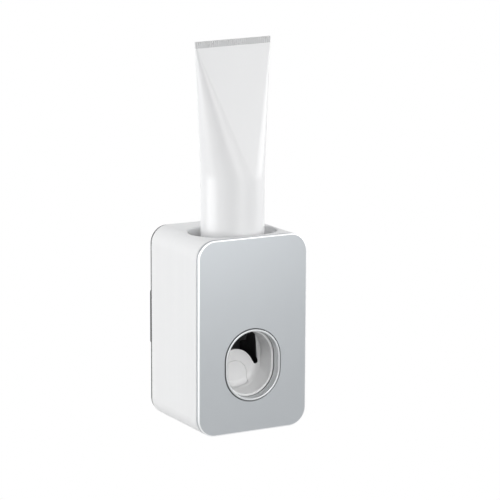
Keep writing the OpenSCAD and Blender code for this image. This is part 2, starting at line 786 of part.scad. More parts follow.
// The bright ring round the brush opening
module trim_ring() {
    color(chrome) in_frame() difference() {
        union() {
            run_y(-ring_proud, face_t) opening_outline(ring_w, ring_h);
            run_y(face_t, ring_l) opening_outline(barrel_w, barrel_h);
        }
        run_y(-ring_proud - cut, ring_l + cut) opening_outline(bore_w, bore_h);
    }
}

// Points of the tube's form: two circles, then the four corners of the flat end
function form_points(r, z0, z1, half_w, half_t) = concat(
    [for (z = [z0, sleeve_z0 + round_l], i = [0 : form_sides - 1])
        let (a = 360 * i / form_sides) [r * cos(a), r * sin(a), z]],
    [for (c = [[1, 1], [-1, 1], [-1, -1], [1, -1]]) [c[0] * half_w, c[1] * half_t, z1]]);

// The tube's form: round below, then two flat triangles and two half cones up to the flat end
module tube_form(r, z0, z1, half_w, half_t) {
    n = form_sides;
    top = 2 * n;
    quarter = n / 4;
    walls = [for (i = [0 : n - 1]) let (k = (i + 1) % n)
        each [[i, n + i, k], [k, n + i, n + k], [n + i, top + floor(i / quarter), n + k]]];
    corners = [for (q = [0 : 3]) [n + q * quarter, top + (q + 3) % 4, top + q]];
    ends = [[for (i = [0 : n - 1]) i], [for (q = [3 : -1 : 0]) top + q]];
    translate([0, tube_y, 0]) rotate([0, 0, crimp_turn])
        polyhedron(form_points(r, z0, z1, half_w, half_t), concat(walls, corners, ends));
}

// The crimp's ridged outline: a zigzag on both faces
function crimp_edge(side) =
    let (n = 2 * crimp_ridges)
    [for (i = [0 : n]) let (k = side > 0 ? i : n - i)
        [-crimp_w / 2 + crimp_w * k / n, side * (crimp_t / 2 - (k % 2) * 0.2)]];

// The thin sleeve of the tube with its ridged crimp
module tube_sleeve() {
    color(white) in_frame() {
        difference() {
            tube_form(sleeve_r, sleeve_z0, flat_z, crimp_w / 2, crimp_t / 2);
            tube_form(sleeve_r - sleeve_wall, sleeve_z0 - cut, flat_z - seal_h,
                crimp_w / 2 - seal_w, crimp_t / 2 - 0.3);
        }
        translate([0, tube_y, flat_z]) rotate([0, 0, crimp_turn])
            linear_extrude(crimp_h) polygon(concat(crimp_edge(1), crimp_edge(-1)));
    }
}

// The stiff shoulder and neck of the tube
module tube_shoulder() {
    plug_r = sleeve_r - sleeve_wall - seat_fit;
    color(white) in_frame() translate([0, tube_y, 0]) rotate_extrude()
        polygon([[neck_r - neck_wall, neck_z], [neck_r, neck_z], [neck_r, cone_z0],
            [sleeve_r, sleeve_z0 - 1], [sleeve_r, sleeve_z0], [plug_r, sleeve_z0],
            [plug_r, sleeve_z0 + plug_l], [plug_r - 1.2, sleeve_z0 + plug_l],
            [plug_r - 1.2, sleeve_z0], [neck_r - neck_wall, cone_z0 + 1.2]]);
}

// The paste inside the tube
module paste_fill() {
    color(clear_white) in_frame()
        tube_form(sleeve_r - sleeve_wall - paste_gap, sleeve_z0 + plug_l, flat_z - 2 * seal_h,
            crimp_w / 2 - 2 * seal_w, crimp_t / 2 - 0.2);
}

wall_plate();
adhesive_pad();
outer_shell();
back_cover();
back_screws();
cartridge_frame();
cartridge_screws();
hinge_pins();
duct_body();
duct_lid();
duct_screws();
tube_socket();
socket_ring();
outlet_valve();
nozzle_cap();
bellows();
bellows_ring();
return_spring();
push_lever();
push_pad();
plunger();
inlet_flap();
cover_frame();
face_plate();
trim_ring();
tube_sleeve();
tube_shoulder();
paste_fill();
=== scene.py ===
"""Looks of a wall toothpaste dispenser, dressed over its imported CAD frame.

Lengths are millimetres in the body's own frame until a point is placed: X from
the middle, depth back from the cover's face, height up from the body's base.
"""

import logging
import math
from dataclasses import dataclass
from enum import Enum
from typing import ClassVar, Sequence

import bmesh
import bpy
from bmesh.types import BMEdge, BMesh, BMVert
from bpy.types import Node, NodeSocket, NodeTree, Object
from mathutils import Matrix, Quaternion, Vector


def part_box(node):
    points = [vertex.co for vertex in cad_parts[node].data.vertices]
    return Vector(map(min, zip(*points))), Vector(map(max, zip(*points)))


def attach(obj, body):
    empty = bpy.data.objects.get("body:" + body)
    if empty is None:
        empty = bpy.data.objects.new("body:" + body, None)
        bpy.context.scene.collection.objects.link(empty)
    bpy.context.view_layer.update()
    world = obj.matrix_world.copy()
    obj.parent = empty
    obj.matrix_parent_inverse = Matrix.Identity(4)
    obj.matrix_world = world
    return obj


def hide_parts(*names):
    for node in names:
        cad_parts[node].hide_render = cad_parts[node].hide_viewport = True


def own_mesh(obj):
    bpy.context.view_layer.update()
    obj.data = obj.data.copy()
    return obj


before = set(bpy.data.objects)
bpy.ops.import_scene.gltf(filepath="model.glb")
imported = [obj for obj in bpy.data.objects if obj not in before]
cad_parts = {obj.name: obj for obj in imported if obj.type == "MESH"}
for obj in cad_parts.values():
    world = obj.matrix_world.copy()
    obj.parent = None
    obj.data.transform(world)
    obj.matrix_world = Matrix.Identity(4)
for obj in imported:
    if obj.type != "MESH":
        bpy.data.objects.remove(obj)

LOG = logging.getLogger("dispenser")
MM = 0.001
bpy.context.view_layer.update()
FACE_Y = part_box("face_plate")[0][1]
BASE_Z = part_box("outer_shell")[0][2]
SHARP_ANGLE = math.radians(32)
FLAT_ANGLE = math.radians(0.6)
FLAT_WEIGHT = 80
MERGE = 1e-6
SEGMENTS = 112
ROUND_STEPS = 6
SENSOR_WIDTH = 36.0
# How far a tool body reaches past what it cuts, in millimetres.
OVER = 1.0


class Plane(Enum):
    """The plane that an outline is drawn in."""

    FRONT = "front"
    TOP = "top"
    SIDE = "side"

    def place(self, u: float, v: float, along: float) -> Vector:
        """Puts an outline's point in the shared frame.

        Args:
            u: First coordinate in the outline's plane, in millimetres.
            v: Second coordinate in the outline's plane.
            along: Position along the plane's normal.

        Returns:
            The point in metres.
        """
        if self is Plane.FRONT:
            x, depth, height = u, along, v
        elif self is Plane.TOP:
            x, depth, height = u, v, along
        else:
            x, depth, height = along, u, v
        return Vector((x * MM, FACE_Y + depth * MM, BASE_Z + height * MM))


@dataclass(frozen=True)
class Outline:
    """A rectangle with round corners, or an obround where the radius is half its width."""

    width: float
    height: float
    radius: float
    u: float = 0.0
    v: float = 0.0
    turn: float = 0.0

    def point(self, index: int, count: int, inset: float) -> tuple[float, float]:
        """Finds one of the outline's points.

        Args:
            index: Which point, counted anticlockwise from +u.
            count: How many points the outline has, a multiple of four.
            inset: How far the outline is drawn in.

        Returns:
            The point's two coordinates in millimetres.
        """
        quarter, step = divmod(index % count, count // 4)
        angle = (quarter + step / (count // 4 - 1)) * math.pi / 2
        corner = max(self.radius, inset)
        side_u = 1 if quarter in (0, 3) else -1
        side_v = 1 if quarter in (0, 1) else -1
        u = side_u * (self.width / 2 - corner) + (corner - inset) * math.cos(angle)
        v = side_v * (self.height / 2 - corner) + (corner - inset) * math.sin(angle)
        turn = math.radians(self.turn)
        return (self.u + u * math.cos(turn) - v * math.sin(turn),
                self.v + u * math.sin(turn) + v * math.cos(turn))


@dataclass(frozen=True)
class Ring:
    """One closed line of a loft: an outline, drawn in, at a place along its normal."""

    outline: Outline
    inset: float
    along: float


def arc(outline: Outline, inset: float, along: float, radius: float,
        start: float, end: float, steps: int = ROUND_STEPS) -> list[Ring]:
    """Rounds a loft's edge.

    Args:
        outline: The outline that the rings follow.
        inset: Inset of the arc's centre.
        along: Position of the arc's centre along the normal.
        radius: The arc's radius.
        start: First angle in degrees; 0 points inwards, 90 along the normal.
        end: Last angle in degrees.
        steps: How many stretches the arc has.

    Returns:
        The rings from the first angle to the last.
    """
    angles = [math.radians(start + (end - start) * i / steps) for i in range(steps + 1)]
    return [Ring(outline, inset + radius * math.cos(a), along + radius * math.sin(a)) for a in angles]


def loft(rings: Sequence[Ring], plane: Plane, closed: bool = False) -> BMesh:
    """Skins a row of rings by extruding one closed line from ring to ring.

    The mesh's edges and faces are put in the order of their points, so that every run gives the same mesh.

    Args:
        rings: The rings in order.
        plane: The plane of their outlines.
        closed: True where the last ring joins the first; else both ends are filled.

    Returns:
        The skinned mesh, with its faces turned outwards.
    """
    mesh = bmesh.new()
    made = bmesh.ops.create_circle(mesh, cap_ends=False, segments=SEGMENTS, radius=1.0)["verts"]
    line = {vert: round(math.atan2(vert.co.y, vert.co.x) / math.tau * SEGMENTS) for vert in made}
    edges = list(mesh.edges)
    first_edges = edges
    place_line(line, rings[0], plane)
    for ring in list(rings[1:]) + ([rings[0]] if closed else []):
        grown = bmesh.ops.extrude_edge_only(mesh, edges=edges)["geom"]
        fresh = [item for item in grown if isinstance(item, BMVert)]
        line = {vert: next(line[other] for other in (edge.other_vert(vert) for edge in vert.link_edges)
                           if other in line) for vert in fresh}
        edges = [edge for edge in grown if isinstance(edge, BMEdge)
                 and all(vert in line for vert in edge.verts)]
        edges.sort(key=lambda edge: sorted(line[vert] for vert in edge.verts))
        place_line(line, ring, plane)
    if not closed:
        for rim in (first_edges, edges):
            bmesh.ops.contextual_create(mesh, geom=rim)
    bmesh.ops.remove_doubles(mesh, verts=mesh.verts, dist=MERGE)
    bmesh.ops.dissolve_degenerate(mesh, edges=mesh.edges, dist=MERGE)
    mesh.verts.index_update()
    for parts in (mesh.edges, mesh.faces):
        in_order = sorted(parts, key=lambda part: sorted(vert.index for vert in part.verts))
        for place, part in enumerate(in_order):
            part.index = place
        parts.sort()
    bmesh.ops.recalc_face_normals(mesh, faces=mesh.faces)
    return mesh


def place_line(line: dict[BMVert, int], ring: Ring, plane: Plane) -> None:
    """Moves a closed line's points onto a ring.

    Args:
        line: Each point with its number along the line.
        ring: The ring.
        plane: The plane of its outline.
    """
    for vert, index in line.items():
        u, v = ring.outline.point(index, SEGMENTS, ring.inset)
        vert.co = plane.place(u, v, ring.along)


def block(low: Sequence[float], high: Sequence[float]) -> BMesh:
    """Makes a box between two corners.

    Args:
        low: Lowest X, depth and height in millimetres.
        high: Highest X, depth and height.

    Returns:
        The box's mesh.
    """
    mesh = bmesh.new()
    made = bmesh.ops.create_cube(mesh, size=1.0)["verts"]
    for vert in made:
        at = [low[i] + (vert.co[i] + 0.5) * (high[i] - low[i]) for i in range(3)]
        vert.co = Plane.FRONT.place(at[0], at[2], at[1])
    return mesh


def rod(plane: Plane, u: float, v: float, radius: float, start: float, end: float,
        round_by: float = 0.0) -> BMesh:
    """Makes a round bar along a plane's normal.

    Args:
        plane: The plane that the bar stands square to.
        u: First coordinate of its axis, in millimetres.
        v: Second coordinate of its axis.
        radius: The bar's radius.
        start: Where it begins along the normal.
        end: Where it ends.
        round_by: Radius of its far end's edge, or 0.

    Returns:
        The bar's mesh.
    """
    circle = Outline(2 * radius, 2 * radius, radius, u, v)
    rings = [Ring(circle, 0, start)]
    if round_by:
        sign = 1 if end > start else -1
        rings += [Ring(circle, round_by * (1 - math.cos(a)), end - sign * round_by * (1 - math.sin(a)))
                  for a in (math.radians(90 * i / ROUND_STEPS) for i in range(ROUND_STEPS + 1))]
    else:
        rings.append(Ring(circle, 0, end))
    return loft(rings, plane)


def as_object(mesh: BMesh, name: str) -> Object:
    """Makes an object of a mesh, at the origin.

    Args:
        mesh: The mesh, which is freed.
        name: The object's name.

    Returns:
        The object, linked to the scene.
    """
    data = bpy.data.meshes.new(name)
    mesh.to_mesh(data)
    mesh.free()
    made = bpy.data.objects.new(name, data)
    bpy.context.scene.collection.objects.link(made)
    return made


def settle(target: Object) -> None:
    """Applies all the modifiers of an object to its mesh.

    Args:
        target: The object.
    """
    bpy.context.view_layer.update()
    baked = bpy.data.meshes.new_from_object(target.evaluated_get(bpy.context.evaluated_depsgraph_get()))
    old = target.data
    target.modifiers.clear()
    target.data = baked
    bpy.data.meshes.remove(old)


def discard(helper: Object) -> None:
    """Removes a helper object with its mesh.

    Args:
        helper: The helper object.
    """
    data = helper.data
    bpy.data.objects.remove(helper)
    bpy.data.meshes.remove(data)


class Cut(Enum):
    """What a tool body does to the piece it meets."""

    TAKE = "DIFFERENCE"
    JOIN = "UNION"
    KEEP = "INTERSECT"


def work(target: Object, tool: BMesh, cut: Cut) -> None:
    """Cuts or joins a piece with a tool body.

    Args:
        target: The piece.
        tool: The tool body's mesh, which is used up.
        cut: What the tool does.
    """
    helper = as_object(tool, "tool")
    modifier = target.modifiers.new("work", "BOOLEAN")
    modifier.operation = cut.value
    modifier.solver = "EXACT"
    modifier.object = helper
    settle(target)
    discard(helper)


def taken(source: Object) -> BMesh:
    """Takes the mesh out of a helper object, which is removed.

    Args:
        source: The helper object.

    Returns:
        Its mesh.
    """
    mesh = bmesh.new()
    mesh.from_mesh(source.data)
    discard(source)
    return mesh


def shade(target: Object) -> None:
    """Shades a piece smooth, with its sharp edges kept and its flats even.

    Args:
        target: The piece.
    """
    target.data.shade_smooth()
    target.data.set_sharp_from_angle(angle=SHARP_ANGLE)
    modifier = target.modifiers.new("even shading", "WEIGHTED_NORMAL")
    modifier.keep_sharp = True
    modifier.weight = FLAT_WEIGHT


def node_copy(node: str, name: str) -> Object:
    """Copies a CAD node's mesh, merged and with its flats made whole.

    Args:
        node: The CAD node's name.
        name: The new piece's name.

    Returns:
        The new piece.
    """
    mesh = bmesh.new()
    mesh.from_mesh(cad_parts[node].data)
    mesh.transform(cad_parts[node].matrix_world)
    bmesh.ops.remove_doubles(mesh, verts=mesh.verts, dist=MERGE)
    bmesh.ops.dissolve_limit(mesh, angle_limit=FLAT_ANGLE, verts=mesh.verts, edges=mesh.edges,
                             use_dissolve_boundaries=False)
    return as_object(mesh, name)


class NodeBoard:
    """A small helper that lays out shader nodes and wires them."""

    def __init__(self, tree: NodeTree) -> None:
        """Starts on an emptied tree.

        Args:
            tree: The node tree.
        """
        self.tree = tree
        tree.nodes.clear()

    def add(self, kind: str, **values: object) -> Node:
        """Adds a node.

        Args:
            kind: The node's type name, without the ShaderNode prefix.
            **values: Node properties to set by name.

        Returns:
            The node.
        """
        prefix = "" if kind.startswith("Node") else "ShaderNode"
        made = self.tree.nodes.new(prefix + kind)
        for key, value in values.items():
            setattr(made, key, value)
        return made

    def math(self, operation: str, first: object, second: object = 0.0) -> NodeSocket:
        """Adds a maths node.

        Args:
            operation: What it does, such as MULTIPLY.
            first: A socket or a number.
            second: A socket or a number.

        Returns:
            The result's socket.
        """
        made = self.add("Math", operation=operation)
        for socket, value in zip(made.inputs, (first, second)):
            self.feed(socket, value)
        return made.outputs[0]

    def feed(self, socket: NodeSocket, value: object) -> None:
        """Links a socket's source, or sets its value.

        Args:
            socket: The input socket.
            value: An output socket, or the value.
        """
        if isinstance(value, NodeSocket):
            self.tree.links.new(value, socket)
        else:
            socket.default_value = value


def surface_play() -> NodeTree:
    """Builds the shared effect of uneven tone, gloss and grain, once.

    Returns:
        A shader node group with the inputs Vector, Stretch, Scale, Grain Scale, Color, Tone,
        Roughness and Gloss Play, and the outputs Color, Roughness and Height.
    """
    name = "Surface play"
    if name in bpy.data.node_groups:
        return bpy.data.node_groups[name]
    tree = bpy.data.node_groups.new(name, "ShaderNodeTree")
    inputs = (("Vector", "Vector"), ("Stretch", "Vector"), ("Scale", "Float"), ("Grain Scale", "Float"),
              ("Color", "Color"), ("Tone", "Float"), ("Roughness", "Float"), ("Gloss Play", "Float"))
    for label, kind in inputs:
        tree.interface.new_socket(label, in_out="INPUT", socket_type="NodeSocket" + kind)
    for label, kind in (("Color", "Color"), ("Roughness", "Float"), ("Height", "Float")):
        tree.interface.new_socket(label, in_out="OUTPUT", socket_type="NodeSocket" + kind)
    board = NodeBoard(tree)
    source = board.add("NodeGroupInput").outputs
    stretched = board.add("VectorMath", operation="MULTIPLY")
    board.feed(stretched.inputs[0], source["Vector"])
    board.feed(stretched.inputs[1], source["Stretch"])
    noises = []
    for scale, detail in (("Scale", 3.0), ("Grain Scale", 2.0)):
        noise = board.add("TexNoise")
        board.feed(noise.inputs["Vector"], stretched.outputs[0])
        board.feed(noise.inputs["Scale"], source[scale])
        noise.inputs["Detail"].default_value = detail
        noises.append(noise.outputs["Fac"])
    broad, grain = noises
    swing = board.math("SUBTRACT", broad, 0.5)
    tone = board.math("ADD", board.math("MULTIPLY", swing, source["Tone"]), 1.0)
    tinted = board.add("VectorMath", operation="SCALE")
    board.feed(tinted.inputs[0], source["Color"])
    board.feed(tinted.inputs["Scale"], tone)
    gloss = board.math("ADD", source["Roughness"], board.math("MULTIPLY", swing, source["Gloss Play"]))
    sink = board.add("NodeGroupOutput").inputs
    board.feed(sink["Color"], tinted.outputs[0])
    board.feed(sink["Roughness"], gloss)
    board.feed(sink["Height"], grain)
    return tree


@dataclass(frozen=True)
class Finish:
    """A surface: its colour, gloss, grain and how much they vary over it."""

    name: str
    color: tuple[float, float, float]
    roughness: float
    metallic: float = 0.0
    tone: float = 0.04
    gloss_play: float = 0.1
    stretch: tuple[float, float, float] = (1.0, 1.0, 1.0)
    scale: float = 60.0
    grain_scale: float = 2600.0
    bump: float = 0.05
    bump_depth: float = 0.02
    coat: float = 0.0
    coat_roughness: float = 0.1
    subsurface: float = 0.0
    scatter: float = 4.0
    specular: float = 0.5

    def material(self) -> bpy.types.Material:
        """Builds the material, or finds it where it is built already.

        Returns:
            The material.
        """
        label = f"{self.name}_finish"
        if label in bpy.data.materials:
            return bpy.data.materials[label]
        made = bpy.data.materials.new(label)
        made.use_nodes = True
        board = NodeBoard(made.node_tree)
        shader = board.add("BsdfPrincipled")
        output = board.add("OutputMaterial")
        board.feed(output.inputs["Surface"], shader.outputs[0])
        play = board.add("Group", node_tree=surface_play())
        place = board.add("TexCoord")
        values = {"Vector": place.outputs["Object"], "Stretch": self.stretch, "Scale": self.scale,
                  "Grain Scale": self.grain_scale, "Color": (*self.color, 1.0), "Tone": self.tone,
                  "Roughness": self.roughness, "Gloss Play": self.gloss_play}
        for socket, value in values.items():
            board.feed(play.inputs[socket], value)
        board.feed(shader.inputs["Base Color"], play.outputs["Color"])
        board.feed(shader.inputs["Roughness"], play.outputs["Roughness"])
        bump = board.add("Bump")
        board.feed(bump.inputs["Height"], play.outputs["Height"])
        bump.inputs["Strength"].default_value = self.bump
        bump.inputs["Distance"].default_value = self.bump_depth * MM
        board.feed(shader.inputs["Normal"], bump.outputs[0])
        constants = {"Metallic": self.metallic, "Coat Weight": self.coat,
                     "Coat Roughness": self.coat_roughness, "Subsurface Weight": self.subsurface,
                     "Subsurface Radius": (self.scatter * MM,) * 3, "Subsurface Scale": 1.0,
                     "Specular IOR Level": self.specular}
        for socket, value in constants.items():
            shader.inputs[socket].default_value = value
        return made


class Finishes:
    """Every finish of the dispenser."""

    SHELL = Finish("shell_white", (0.82, 0.822, 0.825), 0.42, tone=0.05, stretch=(1.0, 1.0, 0.04),
                   scale=300.0, grain_scale=1500.0, bump=0.04)
    COVER = Finish("cover_white", (0.88, 0.885, 0.89), 0.3, tone=0.02, coat=0.3)
    SILVER = Finish("silver_face", (0.405, 0.424, 0.441), 0.42, metallic=0.85, tone=0.03,
                    stretch=(1.0, 1.0, 0.15), scale=500.0, grain_scale=5000.0, bump=0.08)
    # Painted highlight: a brighter copy of the silver face's finish, for the face's rounded edge catching
    # light.
    FACE_EDGE_PAINTED_HIGHLIGHT = Finish("face_edge_painted_highlight", (0.82, 0.83, 0.84), 0.3, metallic=0.85, tone=0.02, bump=0.04)
    CHROME = Finish("chrome_ring", (0.56, 0.575, 0.585), 0.28, metallic=1.0, tone=0.02, gloss_play=0.05)
    # Painted shade: a near-black strip in the ring's groove that stands in for the shadow of the gap around
    # the ring.
    GROOVE_PAINTED_SHADE = Finish("ring_groove_painted_shade", (0.1, 0.103, 0.106), 0.6, tone=0.1)
    CUP = Finish("cup_white", (0.9, 0.9, 0.9), 0.38, tone=0.02, coat=0.15)
    PUMP = Finish("pump_black", (0.11, 0.11, 0.113), 0.55, tone=0.2, bump=0.1)
    GRAPHITE = Finish("graphite", (0.05, 0.052, 0.055), 0.5, tone=0.15, bump=0.1, specular=0.3)
    BACK = Finish("back_gray", (0.045, 0.047, 0.05), 0.5, tone=0.08, bump=0.08, specular=0.3)
    FOAM = Finish("foam", (0.36, 0.36, 0.37), 0.9, tone=0.2, grain_scale=1600.0, bump=0.8, bump_depth=0.2)
    STEEL = Finish("steel", (0.55, 0.56, 0.57), 0.3, metallic=1.0, stretch=(1.0, 1.0, 6.0), bump=0.1)
    SILICONE = Finish("silicone", (0.72, 0.73, 0.73), 0.5, subsurface=0.3, tone=0.05)
    DARK_SILICONE = Finish("dark_silicone", (0.014, 0.014, 0.015), 0.85, tone=0.2, bump=0.1, specular=0.15)
    TUBE = Finish("tube_white", (0.86, 0.863, 0.868), 0.3, tone=0.006, gloss_play=0.03, scale=25.0,
                  grain_scale=1800.0, coat=0.2, coat_roughness=0.3, bump=0.03)
    CRIMP = Finish("tube_crimp", (0.68, 0.683, 0.687), 0.4, tone=0.02)
    TUBE_PLASTIC = Finish("tube_plastic", (0.8, 0.8, 0.8), 0.4, subsurface=0.1)
    PASTE = Finish("paste", (0.75, 0.85, 0.86), 0.25, tone=0.05)

    @staticmethod
    def dress(piece: Object, finish: Finish) -> None:
        """Puts one finish on all of a piece.

        Args:
            piece: The piece.
            finish: The finish.
        """
        if piece.material_slots:
            for entry in piece.material_slots:
                entry.material = finish.material()
        else:
            piece.data.materials.append(finish.material())


def hand_over(piece: Object, body: str, finish: Finish,
              replaced: Sequence[str]) -> None:
    """Finishes a new piece and hangs it on its body.

    Args:
        piece: The piece.
        body: The CAD body that it rides on.
        finish: Its finish.
        replaced: The CAD nodes that it stands for.
    """
    shade(piece)
    Finishes.dress(piece, finish)
    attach(piece, body)
    if replaced:
        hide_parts(*replaced)
    LOG.info("%s: %d faces, on %s", piece.name, len(piece.data.polygons), body)


@dataclass
class Case:
    """The white outer shell with its tube well and round mouth."""

    width: float = 65.0
    height: float = 105.0
    corner: float = 10.0
    wall: float = 2.2
    front: float = 2.5
    back: float = 54.5
    edge: float = 0.35
    well_width: float = 49.5
    well_depth: float = 35.5
    well_wall: float = 1.6
    well_y: float = 23.0
    well_floor: float = 70.4
    well_trim: float = 5.0
    floor_wall: float = 2.0
    floor_hole: float = 12.0
    mouth_round: float = 1.1
    mouth_steps: int = 8
    mouth_flare: float = 0.6
    mouth_rise: float = 0.3
    boss_inset: float = 7.0
    boss: float = 4.0
    peg_boss_end: float = 12.5
    peg_bore: float = 2.0
    peg_floor: float = 1.5
    screw_boss_start: float = 43.5
    screw_bore: float = 1.45
    screw_floor: float = 2.0
    web_start: float = 3.4
    web_half: float = 1.0
    rail: float = 2.4
    rail_thick: float = 3.0
    rail_low: float = 13.0
    rail_high: float = 62.4
    seat_x: float = 25.5
    seat_y: float = 8.0
    seat_end: float = 16.0
    seat_z: float = 36.3
    seat_boss: float = 3.5
    seat_bore: float = 1.35
    seat_floor: float = 0.7
    seat_web_start: float = 2.9
    seat_web_half: float = 1.2

    def outline(self) -> Outline:
        """Draws the body's outline, seen from the front.

        Returns:
            The outline.
        """
        return Outline(self.width, self.height, self.corner, 0.0, self.height / 2)

    def corners(self) -> list[tuple[int, float, float]]:
        """Places the bosses in the body's four corners.

        Returns:
            Each corner's side, -1 or 1, with its X and its height.
        """
        return [(side, side * (self.width / 2 - self.boss_inset), height)
                for side in (-1, 1) for height in (self.boss_inset, self.height - self.boss_inset)]

    def shell_mesh(self) -> BMesh:
        """Makes the open-ended box with softened front and back edges.

        Returns:
            Its mesh.
        """
        line = self.outline()
        rings = arc(line, self.edge, self.front + self.edge, self.edge, -90, -180)
        rings += arc(line, self.edge, self.back - self.edge, self.edge, 180, 90)
        rings += [Ring(line, self.wall, self.back), Ring(line, self.wall, self.front)]
        return loft(rings, Plane.FRONT, closed=True)

    def well_line(self, grow: float) -> Outline:
        """Draws the well's obround outline.

        Args:
            grow: How much it grows all round.

        Returns:
            The outline.
        """
        deep = self.well_depth + 2 * grow
        return Outline(self.well_width + 2 * grow, deep, deep / 2, 0.0, self.well_y)

    def build(self) -> None:
        """Builds the shell, its well and the softly rounded mouth."""
        shell = as_object(self.shell_mesh(), "shell")
        outer = self.well_line(self.well_wall)
        work(shell, loft([Ring(outer, 0, self.well_floor), Ring(outer, 0, self.height - self.wall / 2)],
                         Plane.TOP), Cut.JOIN)
        work(shell, block((-self.width, self.front - self.well_trim, self.well_floor - OVER),
                          (self.width, self.front, self.height + OVER)), Cut.TAKE)
        mouth = self.well_line(0.0)
        flare = -self.mouth_round - self.mouth_flare
        rings = [Ring(mouth, 0, self.well_floor + self.floor_wall)]
        rings += arc(mouth, -self.mouth_round, self.height - self.mouth_round, self.mouth_round, 0, 90,
                     self.mouth_steps)
        rings += [Ring(mouth, flare, self.height + rise) for rise in (self.mouth_rise, 2 * OVER)]
        work(shell, loft(rings, Plane.TOP), Cut.TAKE)
        work(shell, rod(Plane.TOP, 0, self.well_y, self.floor_hole, self.well_floor - OVER,
                        self.well_floor + self.floor_wall + OVER), Cut.TAKE)
        self.add_seats(shell)
        self.add_pump_seats(shell)
        hand_over(shell, "housing", Finishes.SHELL, ["outer_shell"])

    def add_seats(self, shell: Object) -> None:
        """Joins the corner bosses, with their sockets, to the shell.

        Args:
            shell: The shell's object.
        """
        kinds = ((self.front, self.peg_boss_end, self.peg_bore,
                  self.front - OVER, self.peg_boss_end - self.peg_floor),
                 (self.screw_boss_start, self.back, self.screw_bore,
                  self.screw_boss_start + self.screw_floor, self.back + OVER))
        for side, x, height in self.corners():
            web = sorted((x + side * self.web_start, side * (self.width / 2 - OVER)))
            for start, end, bore, bore_start, bore_end in kinds:
                work(shell, rod(Plane.FRONT, x, height, self.boss, start, end), Cut.JOIN)
                work(shell, block((web[0], start, height - self.web_half),
                                  (web[1], end, height + self.web_half)), Cut.JOIN)
                work(shell, rod(Plane.FRONT, x, height, bore, bore_start, bore_end), Cut.TAKE)

    def add_pump_seats(self, shell: Object) -> None:
        """Joins the rails and screw bosses that carry the pump's frame.

        Args:
            shell: The shell's object.
        """
        end = self.seat_end
        for side in (-1, 1):
            wall = side * (self.width / 2 - self.wall / 2)
            x = side * self.seat_x
            rail = sorted((side * (self.width / 2 - self.wall - self.rail), wall))
            work(shell, block((rail[0], self.seat_y, self.rail_low),
                              (rail[1], self.seat_y + self.rail_thick, self.rail_high)), Cut.JOIN)
            web = sorted((side * (self.seat_x + self.seat_web_start), wall))
            work(shell, block((web[0], self.seat_y, self.seat_z - self.seat_web_half),
                              (web[1], end, self.seat_z + self.seat_web_half)), Cut.JOIN)
            work(shell, rod(Plane.FRONT, x, self.seat_z, self.seat_boss, self.seat_y, end), Cut.JOIN)
            work(shell, rod(Plane.FRONT, x, self.seat_z, self.seat_bore, self.seat_y - OVER,
                            end - self.seat_floor), Cut.TAKE)


